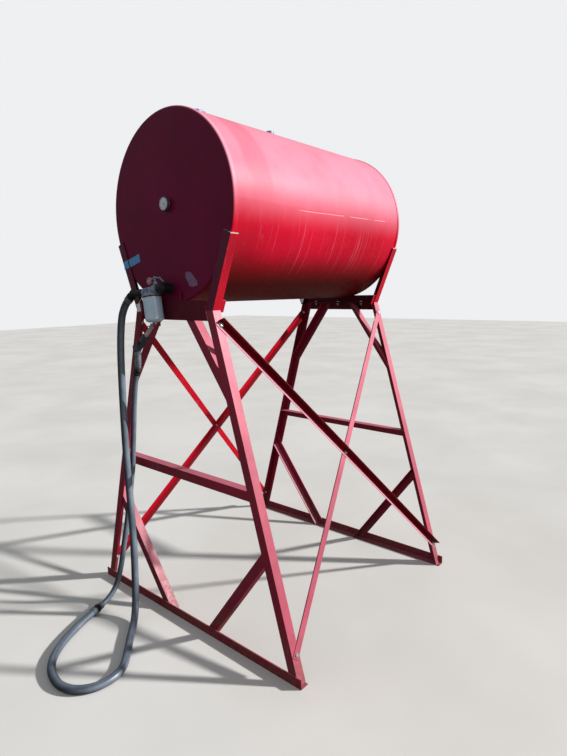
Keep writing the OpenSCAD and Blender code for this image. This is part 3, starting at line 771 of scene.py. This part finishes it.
def point_at(line, share):
    """The point and the direction at a share of a line's length."""
    target = line_length(line) * share
    gone = 0.0
    for a, b in zip(line, line[1:]):
        step = (b - a).length
        if gone + step >= target or b is line[-1]:
            t = 0.0 if step == 0 else (target - gone) / step
            return a.lerp(b, min(max(t, 0.0), 1.0)), (b - a).normalized()
        gone += step
    return line[-1], (line[-1] - line[-2]).normalized()


def lofted(bm, line, stations, sides=24, flat=1.0):
    """A round body along a line: (share of the length, radius) pairs, closed at both ends.

    flat says how many times as wide as thick it is.
    """
    rings = []
    side = None
    for share, radius in stations:
        p, way = point_at(line, share)
        if side is None:
            side = way.cross(Y)
            if side.length < 0.1:
                side = way.cross(X)
        side = (side - way * side.dot(way)).normalized()
        other = way.cross(side)
        ring = []
        for k in range(sides):
            angle = 2 * math.pi * k / sides
            out = side * (radius * math.cos(angle)) + other * (radius * flat * math.sin(angle))
            ring.append(bm.verts.new(p + out))
        rings.append(ring)
    skin(bm, rings)


def hex_bolt(bm, at, out, size, grip, turn):
    """A hex bolt through flanges: washer and chamfered head outside, nut and thread end inside."""
    place = frame_on(at, out, turn)
    turned(bm, ((size * 1.15, 0.0), (size * 1.15, 0.0016), (size * 1.08, 0.002)), place, 24)
    turned(bm, ((size * 0.92, 0.002), (size * 0.92, 0.0068), (size * 0.78, 0.0082)), place, 6)
    back = place @ Matrix.Translation((0, 0, -grip)) @ Matrix.Rotation(math.pi, 4, "X")
    turned(bm, ((size * 0.92, 0.0), (size * 0.92, 0.0078), (size * 0.78, 0.009)), back, 6)
    thread = [(size * 0.5, 0.008)]
    for k in range(5):
        thread.append((size * 0.5, 0.009 + 0.0016 * k))
        thread.append((size * 0.43, 0.0098 + 0.0016 * k))
    turned(bm, thread, back, 16)


def weld_bead(bm, line, radius, ripple=0.0045, closed=False, sides=8):
    """A rippled bead of weld along a line of points."""
    points = [Vector(p) for p in line]
    path = [points[0]]
    for a, b in zip(points, points[1:] + (points[:1] if closed else [])):
        count = max(1, int((b - a).length / ripple))
        for k in range(count):
            path.append(a.lerp(b, (k + 1) / count))
    if closed:
        path = path[:-1]
    rings = []
    last = len(path) - 1
    for i, p in enumerate(path):
        if closed:
            way = path[(i + 1) % len(path)] - path[i - 1]
        else:
            way = path[min(i + 1, last)] - path[max(i - 1, 0)]
        size = radius * (1.12 if i % 2 else 0.88)
        if not closed and i in (0, last):
            size = radius * 0.4
        rings.append(circle(bm, frame_on(p, way), size, 0, sides))
    skin(bm, rings, closed)


# Bolts and welds of the stand and the tank

# The size that a bolt's washer, head and thread follow, and the radius of the beads
BRACE_BOLT = 0.0122
CROSS_BOLT = 0.0095
WAIST_BOLT = 0.0105
FRAME_BEAD = 0.0024
HEAD_BEAD = 0.0022


def brace_bolts():
    """Bolts at the ends and the crossings of the side braces."""
    for side, side_name in ((1, "right"), (-1, "left")):
        out = Vector((side * math.cos(LEG_LEAN), 0, math.sin(LEG_LEAN)))
        bm = bmesh.new()
        turn = 0.2
        for y in (BRACE_Y, 2 * MID_Y - BRACE_Y):
            for z in (BRACE_TOP_Z, BRACE_LOW_Z):
                on_outer = (y < MID_Y) == (z == BRACE_TOP_Z)
                lift = FIT_GAP + (BRACE_T if on_outer else 0.0)
                under = IRON_T + (0.0 if on_outer else BRACE_T)
                hole = Vector((side * leg_x(z), y, z))
                hex_bolt(bm, hole + out * lift, out, BRACE_BOLT, lift + under, turn)
                turn += 0.37
        cross_z = 0.5 * (BRACE_TOP_Z + BRACE_LOW_Z)
        cross = Vector((side * leg_x(cross_z), MID_Y, cross_z))
        lift = 2 * (BRACE_T + FIT_GAP)
        hex_bolt(bm, cross + out * lift, out, CROSS_BOLT, lift + BRACE_T, 0.5)
        new_piece("brace_bolts_" + side_name, bm, zinc)


def waist_bolts():
    """Bolts through the flanges of the top rails and the cradle's rails."""
    for y, way, name in both_ends(LEG_Y):
        bm = bmesh.new()
        turn = 0.1
        deep = y + way * (0.5 * IRON_W + 0.006)
        for x in (-0.2, 0.0, 0.2):
            hex_bolt(bm, Vector((x, deep, WAIST_Z + IRON_T)), Z, WAIST_BOLT, 2 * IRON_T, turn)
            turn += 0.5
        new_piece("waist_bolts_" + name, bm, zinc)


def tank_welds():
    """The bead around each head where its lap ends on the shell."""
    radius = 0.9955 * TANK_R
    back = SKIRT_LEN + 0.0002
    count = 180
    for y, way, name in both_ends(HEAD_Y):
        bm = bmesh.new()
        ring = []
        for k in range(count):
            angle = 2 * math.pi * k / count
            ring.append((radius * math.sin(angle), y + way * back, TANK_Z + radius * math.cos(angle)))
        weld_bead(bm, ring, HEAD_BEAD, 0.006, closed=True, sides=6)
        new_piece("head_weld_" + name, bm, tank_paint, 60)


def frame_welds():
    """Short beads where the rails meet the legs and the arms, on both frames."""
    leg_in = IRON_W / math.cos(LEG_LEAN)
    arm_in = IRON_W / math.cos(ARM_LEAN)
    for y, way, name in both_ends(LEG_Y):
        bm = bmesh.new()
        for side in (-1, 1):
            for half, inside, depth, low, high in (
                (leg_x, leg_in, y, WAIST_Z - 0.0495, WAIST_Z - 0.001),
                (arm_x, arm_in, y, WAIST_Z + 0.002, WAIST_Z + 0.049),
                (leg_x, leg_in, y + way * IRON_T, MID_RAIL_Z - 0.050, MID_RAIL_Z - 0.001),
            ):
                weld_bead(bm, [(side * (half(z) - inside), depth, z) for z in (low, high)], FRAME_BEAD)
            foot = leg_x(0.052)
            weld_bead(bm, [(side * (foot - inset), y, 0.051) for inset in (0.048, 0.003)], FRAME_BEAD)
        new_piece("frame_welds_" + name, bm, stand_paint, 60)


brace_bolts()
waist_bolts()
tank_welds()
frame_welds()


# Level gauge

def blade(low, high, half_low, half_high):
    """The outline of a straight mark or a pointer that runs up local y."""
    return ((-half_low, low), (half_low, low), (half_high, high), (-half_high, high))


def gauge_place(back):
    """A place on the gauge's axis, behind its front face, with local z out to the front."""
    low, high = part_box("level_gauge")
    return frame_on(Vector((0.5 * (low.x + high.x), low.y + back, 0.5 * (low.z + high.z))), -Y)


def gauge_radius():
    low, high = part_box("level_gauge")
    return 0.5 * (high.x - low.x)


def gauge_dial():
    """The dial in the gauge's front."""
    radius = gauge_radius() - 0.0045
    bm = bmesh.new()
    turned(bm, ((radius, -0.0003), (radius, 0.0003)), gauge_place(0.0014), 48)
    new_piece("gauge_dial", bm, dial_white, 30)


def gauge_marks():
    """The marks on the dial, the pointer and its hub."""
    marks = 11
    sweep = math.radians(240)
    reading = math.radians(35)
    radius = gauge_radius()
    bm = bmesh.new()
    lift = gauge_place(0.0014) @ Matrix.Translation((0, 0, 0.0005))
    for k in range(marks):
        mark = lift @ Matrix.Rotation(sweep * (k / (marks - 1) - 0.5), 4, "Z")
        slab(bm, blade(radius * 0.62, radius * 0.8, 0.0006, 0.0006), mark, 0, 0.0003)
    pointer = lift @ Matrix.Rotation(reading, 4, "Z")
    slab(bm, blade(-radius * 0.18, radius * 0.6, 0.0012, 0.0004), pointer, 0.0003, 0.0006)
    turned(bm, ((0.0028, 0.0), (0.0028, 0.0006), (0.0018, 0.0008)), lift, 16)
    new_piece("gauge_marks", bm, dial_black, 30)


def gauge_case():
    """Three ribs around the gauge's case and the drip tail under it."""
    radius = gauge_radius()
    rib_foot = radius + 0.0004
    rib_top = radius + 0.0011
    case = gauge_place(0.016)
    bm = bmesh.new()
    for k in range(3):
        start = 0.003 + 0.004 * k
        turned(bm, ((rib_foot, start), (rib_top, start + 0.001), (rib_foot, start + 0.002)), case, 48)
    tail = frame_on(gauge_place(0.009).translation + Vector((0, 0, 0.001 - radius)), -Z)
    turned(bm, (
        (0.0052, -0.003), (0.0052, 0.004), (0.0034, 0.0048), (0.0034, 0.0095), (0.0024, 0.0105),
    ), tail, 12)
    # The ribs are black, partly painted shade on the case's side.
    new_piece("gauge_case_rings", bm, dial_black, 40)


gauge_dial()
gauge_marks()
gauge_case()


# Tape and bare patch

def tape():
    """Blue tape that runs from the head over the front of the left arm."""
    bm = bmesh.new()
    wide = 22
    tall = 6
    left_x = -0.416
    run = 0.147
    left_z = 2.028
    climb = 0.038
    tape_width = 0.043
    tape_slant = 0.008
    crease_depth = 0.0003
    on_arm_y = LEG_Y - 0.00025
    step_deep = HEAD_Y - LEG_Y
    step_long = 0.012
    rows = []
    for i in range(wide + 1):
        t = i / wide
        crease = crease_depth * math.sin(9 * t)
        row = []
        for k in range(tall + 1):
            up = k / tall - 0.5
            x = left_x + run * t - tape_slant * up
            z = left_z + climb * t + tape_width * up
            step = min(max((x + arm_x(z) - IRON_W * 0.93) / step_long, 0.0), 1.0)
            step = step * step * (3 - 2 * step)
            row.append((x, on_arm_y + step_deep * step + 2 * crease * up, z))
        rows.append(row)
    front = [[bm.verts.new((x, y - 0.0005, z)) for x, y, z in row] for row in rows]
    back = [[bm.verts.new((x, y - 0.0001, z)) for x, y, z in row] for row in rows]
    for i in range(wide):
        for k in range(tall):
            bm.faces.new((front[i][k], front[i + 1][k], front[i + 1][k + 1], front[i][k + 1]))
            bm.faces.new((back[i][k], back[i][k + 1], back[i + 1][k + 1], back[i + 1][k]))
    for i in range(wide):
        bm.faces.new((front[i][0], back[i][0], back[i + 1][0], front[i + 1][0]))
        bm.faces.new((front[i][tall], front[i + 1][tall], back[i + 1][tall], back[i][tall]))
    for k in range(tall):
        bm.faces.new((front[0][k], front[0][k + 1], back[0][k + 1], back[0][k]))
        bm.faces.new((front[wide][k], back[wide][k], back[wide][k + 1], front[wide][k + 1]))
    new_piece("tape_strip", bm, blue_tape, 40)


def bare_plate():
    """The patch low on the front head where something has been pulled off."""
    bm = bmesh.new()
    on_head = Matrix((
        (1, 0, 0, 0),
        (0, 0, -1, HEAD_Y),
        (0, 1, 0, 0),
        (0, 0, 0, 1),
    ))
    corners = (
        (0.116, 1.972), (0.135, 1.977), (0.158, 1.974), (0.207, 1.929),
        (0.206, 1.907), (0.164, 1.899), (0.147, 1.905), (0.117, 1.949),
    )
    slab(bm, rounded(corners, 0.004), on_head, 0.0001, 0.0008, 0.0003)
    new_piece("faded_plate", bm, bare_patch, 40)


tape()
bare_plate()


# Knob on the valve, and seams and drain of the canister

PIPE_Y = HEAD_Y - 0.0605
OUTLET_Z = TANK_Z - TANK_R + 0.0826
DROOP = math.radians(8)
FILTER_X = 0.098
CANISTER_R = 0.0485


def on_filter(height):
    """A place on the filter's leaning axis, at a height over the outlet pipe's axis."""
    outlet = Matrix.Translation((0, PIPE_Y, OUTLET_Z)) @ Matrix.Rotation(-DROOP, 4, "Y")
    return outlet @ Matrix.Translation((-FILTER_X, 0, height))


def valve_knob():
    """The lobed knob in front of the valve and its screw."""
    place = on_filter(0.052) @ Matrix.Rotation(math.pi / 2, 4, "X")
    bm = bmesh.new()
    lobes = 8
    count = lobes * 8
    knob_radius = 0.0192
    lobe_height = 0.0012
    rings = []
    for share, height in ((0.86, -0.0075), (1.0, -0.005), (1.0, 0.004), (0.9, 0.0068), (0.45, 0.0078)):
        ring = []
        for k in range(count):
            a = 2 * math.pi * k / count
            radius = (knob_radius + lobe_height * math.cos(lobes * a)) * share
            at = Vector((radius * math.cos(a), radius * math.sin(a), height))
            ring.append(bm.verts.new(place @ at))
        rings.append(ring)
    skin(bm, rings)
    new_piece("valve_knob", bm, faded_knob, 35)
    bm = bmesh.new()
    turned(bm, ((0.0048, 0.0070), (0.0048, 0.0094), (0.0036, 0.0104)), place, 6)
    new_piece("valve_knob_screw", bm, zinc, 30)


def under_filter():
    """A place at the canister's top, with local z down along it."""
    return on_filter(-0.032) @ Matrix.Rotation(math.pi, 4, "X")


def canister_seams():
    """The rolled seams at the canister's top and bottom."""
    place = under_filter()
    bm = bmesh.new()
    r = CANISTER_R
    low = 0.1085
    turned(bm, (
        (r - 0.002, 0.0), (r + 0.0012, 0.001), (r + 0.0014, 0.0035), (r + 0.0002, 0.0055),
        (r - 0.002, 0.0056),
    ), place, 56)
    turned(bm, (
        (r - 0.002, low), (r + 0.0010, low + 0.001), (r + 0.0014, low + 0.004), (r + 0.0010, low + 0.007),
        (r - 0.002, low + 0.008),
    ), place, 56)
    new_piece("canister_seams", bm, canister_rim, 40)


def canister_drain():
    """The boss, the hex and the spigot under the canister."""
    place = under_filter()
    bm = bmesh.new()
    turned(bm, ((0.0150, 0.1225), (0.0150, 0.1270), (0.0125, 0.1280)), place, 32)
    turned(bm, ((0.0095, 0.1275), (0.0095, 0.1345), (0.0085, 0.1355)), place, 6)
    turned(bm, ((0.0040, 0.1350), (0.0040, 0.1420), (0.0030, 0.1430)), place, 16)
    new_piece("canister_drain", bm, zinc, 30)


valve_knob()
canister_seams()
canister_drain()


# Hose ends, coupling and nozzle

def grooves(start, pitch, count, steps):
    """The same few (offset along, radius) steps again and again along a body."""
    out = []
    for k in range(count):
        out += [(start + pitch * k + along, radius) for along, radius in steps]
    return out


def flipped(pairs):
    """(Along, radius) pairs as the (radius, height) pairs of a profile."""
    return [(radius, along) for along, radius in pairs]


def hose_ferrule():
    """The ribbed ferrule on the fuel hose's upper end."""
    end_of_hose = smooth_line(FUEL_ROUTE)[:8]
    ribs = grooves(0.06, 0.17, 5, ((0.0, 0.0234), (0.02, 0.0222), (0.07, 0.0222), (0.09, 0.0234)))
    bm = bmesh.new()
    lofted(bm, end_of_hose, [(0.0, 0.0212), (0.02, 0.0232)] + ribs + [(0.96, 0.0234), (1.0, 0.0212)])
    new_piece("hose_ferrule", bm, grip_grey, 50)


def coupling():
    """The coupling between the two hoses: a ribbed ferrule, a collar and a ribbed tail, and a hex nut."""
    start = Vector(FUEL_ROUTE[-1])
    end = Vector(NOZZLE_ROUTE[0])
    way = (end - start).normalized()
    place = frame_on(start + way * 0.0006, way)
    run = (end - start).length - 0.0012
    bm = bmesh.new()
    rib = ((0.0, 0.0245), (0.0032, 0.0245), (0.0042, 0.0228), (0.0056, 0.0228))
    ribs = flipped(grooves(0.002, 0.0066, 4, rib))
    turned(bm, [(0.0205, 0.0)] + ribs + [(0.018, 0.030)], place, 32)
    turned(bm, ((0.0165, 0.029), (0.0165, run - 0.028)), place, 32)
    turned(bm, ((0.0185, 0.0545), (0.0205, 0.0555), (0.0205, 0.058), (0.0185, 0.059)), place, 32)
    rib = ((0.0, 0.0205), (0.004, 0.0205), (0.005, 0.019), (0.0065, 0.019))
    ribs = flipped(grooves(run - 0.026, 0.0075, 3, rib))
    turned(bm, [(0.0165, run - 0.029)] + ribs + [(0.0165, run)], place, 32)
    pieces = [new_piece("coupling_ferrules", bm, grip_grey, 40, ("hose_coupling",))]
    bm = bmesh.new()
    turned(bm, ((0.023, 0.034), (0.0248, 0.036), (0.0248, 0.052), (0.023, 0.054)), place, 6)
    turned(bm, ((0.0190, 0.0290), (0.0232, 0.0300), (0.0232, 0.0325), (0.0190, 0.0335)), place, 32)
    pieces.append(new_piece("coupling_nut", bm, black_iron, 40))
    return pieces


# The nozzle's line, from the hose's end over the swivel and the grip to the top of its body
HOSE_END = Vector((-0.268, -0.084, 1.427))
SWIVEL_TOP = Vector((-0.251, -0.082, 1.466))
GRIP_MID = Vector((-0.247, -0.080, 1.512))
BODY_LOW = Vector((-0.254, -0.076, 1.568))
BODY_TOP = Vector((-0.182, -0.066, 1.643))
BODY_WAY = (BODY_TOP - BODY_LOW).normalized()


def nozzle_handle():
    """The swivel on the hose's end and the ribbed grip below the nozzle's body."""
    handle = smooth_line([HOSE_END, SWIVEL_TOP, GRIP_MID, BODY_LOW + Vector((0.003, 0, -0.012))], 8, 1)
    bm = bmesh.new()
    lofted(bm, handle, (
        (0.0, 0.0165), (0.01, 0.0185), (0.09, 0.0185), (0.10, 0.0172), (0.13, 0.0172),
        (0.14, 0.0188), (0.23, 0.0188), (0.24, 0.0165), (0.29, 0.0165), (0.30, 0.0150),
    ))
    swivel = new_piece("nozzle_swivel", bm, black_iron, 40)
    low_end = [(0.295, 0.0145), (0.31, 0.0170), (0.36, 0.0172)]
    ribs = grooves(0.40, 0.06, 6, ((0.0, 0.0166), (0.012, 0.0158), (0.03, 0.0158), (0.042, 0.0166)))
    top_end = [(0.80, 0.0165), (0.93, 0.0172), (1.0, 0.0172)]
    bm = bmesh.new()
    lofted(bm, handle, low_end + ribs + top_end)
    grip = new_piece("nozzle_grip", bm, grip_grey, 40)
    return [swivel, grip]


def nozzle_rings():
    """The eight-sided nut and the collar at the body's top, and three rings around the body."""
    bm = bmesh.new()
    nut = frame_on(BODY_TOP - BODY_WAY * 0.019, BODY_WAY)
    turned(bm, ((0.0205, 0.0), (0.0218, 0.0012), (0.0218, 0.0125), (0.0205, 0.0137)), nut, 8)
    turned(bm, ((0.0180, 0.0135), (0.0180, 0.0195), (0.0150, 0.0205), (0.0120, 0.0235)), nut, 28)
    for k in range(3):
        ring = frame_on(BODY_LOW + BODY_WAY * (0.022 + 0.013 * k), BODY_WAY)
        turned(bm, ((0.0198, 0.0), (0.0212, 0.001), (0.0212, 0.0045), (0.0198, 0.0055)), ring, 28)
    new_piece("nozzle_rings", bm, dark_nozzle, 35)


def nozzle_cap():
    """The hex cap on the body's side and the stub in its middle."""
    bm = bmesh.new()
    cap = frame_on(BODY_LOW + BODY_WAY * 0.045 + Vector((0.006, -0.014, 0.006)), (0.35, -1.0, 0.3))
    turned(bm, ((0.0135, -0.004), (0.0135, 0.0062), (0.0120, 0.0078)), cap, 6)
    turned(bm, ((0.0072, 0.0076), (0.0072, 0.0104), (0.0060, 0.0114)), cap, 16)
    new_piece("nozzle_cap", bm, black_iron, 35)


def nozzle_lever():
    """The flat lever beside the grip."""
    line = smooth_line([
        BODY_LOW + Vector((-0.004, 0, 0.012)),
        BODY_LOW + Vector((-0.020, 0, -0.014)),
        GRIP_MID + Vector((-0.024, 0, -0.010)),
        SWIVEL_TOP + Vector((-0.022, 0, 0.016)),
    ], 8, 2)
    bar = [(0.03 + 0.94 * k / 20, 0.0034) for k in range(21)]
    bm = bmesh.new()
    lofted(bm, line, [(0.0, 0.0022)] + bar + [(1.0, 0.0018)], 12, 2.0)
    new_piece("nozzle_lever", bm, bare_metal, 60)


hose_ferrule()
coupling_pieces = coupling()
nozzle_pieces = nozzle_handle()
nozzle_rings()
nozzle_cap()
nozzle_lever()


# Floor and light

def make_floor():
    """A pale floor, darker for the light that it throws back on the object."""
    s = Surface("pale_floor", roughness=0.8)
    pale = s.mix(s.band(s.noise(0.7, 3), 0.3, 0.7), rgb(222, 220, 216), rgb(232, 231, 228))
    path = s.tree.nodes.new("ShaderNodeLightPath")
    s.colour(s.mix(path.outputs["Is Camera Ray"], rgb(100, 95, 88), pale))
    s.normal(s.bump(s.noise(40, 4), 0.1, 0.0006))
    mesh = bpy.data.meshes.new("floor")
    grid = bmesh.new()
    bmesh.ops.create_grid(grid, x_segments=8, y_segments=8, size=30)
    grid.to_mesh(mesh)
    grid.free()
    mesh.materials.append(s.mat)
    floor = bpy.data.objects.new("floor", mesh)
    scene.collection.objects.link(floor)


def make_world():
    """A dim sky as light, and a pale backdrop where the camera sees it, also through glass."""
    world = bpy.data.worlds.new("studio")
    scene.world = world
    world.use_nodes = True
    tree = world.node_tree
    tree.nodes.clear()
    out = tree.nodes.new("ShaderNodeOutputWorld")
    light = tree.nodes.new("ShaderNodeBackground")
    light.inputs["Color"].default_value = (0.9, 0.95, 1.0, 1)
    light.inputs["Strength"].default_value = 0.27
    pale = tree.nodes.new("ShaderNodeBackground")
    pale.inputs["Color"].default_value = (0.86, 0.87, 0.88, 1)
    pale.inputs["Strength"].default_value = 1.0
    path = tree.nodes.new("ShaderNodeLightPath")
    either = tree.nodes.new("ShaderNodeMath")
    either.operation = "MAXIMUM"
    tree.links.new(path.outputs["Is Camera Ray"], either.inputs[0])
    tree.links.new(path.outputs["Is Transmission Ray"], either.inputs[1])
    pick = tree.nodes.new("ShaderNodeMixShader")
    tree.links.new(either.outputs[0], pick.inputs[0])
    tree.links.new(light.outputs[0], pick.inputs[1])
    tree.links.new(pale.outputs[0], pick.inputs[2])
    tree.links.new(pick.outputs[0], out.inputs["Surface"])


def make_lamp(name, toward, strength, spread, colour):
    """A far lamp that shines in a direction, as wide as an angle in degrees."""
    data = bpy.data.lights.new(name, "SUN")
    data.energy = strength
    data.angle = math.radians(spread)
    data.color = colour
    lamp = bpy.data.objects.new(name, data)
    lamp.rotation_euler = Vector(toward).to_track_quat("-Z", "Y").to_euler()
    scene.collection.objects.link(lamp)


make_floor()
make_world()
make_lamp("key", toward=(-0.67, -0.57, -0.47), strength=4.2, spread=3, colour=(1.0, 0.98, 0.95))
make_lamp("side", toward=(-0.96, 0.10, -0.24), strength=0.25, spread=30, colour=(1.0, 0.99, 0.97))
make_lamp("fill", toward=(0.35, 0.75, -0.55), strength=0.16, spread=60, colour=(0.96, 0.98, 1.0))
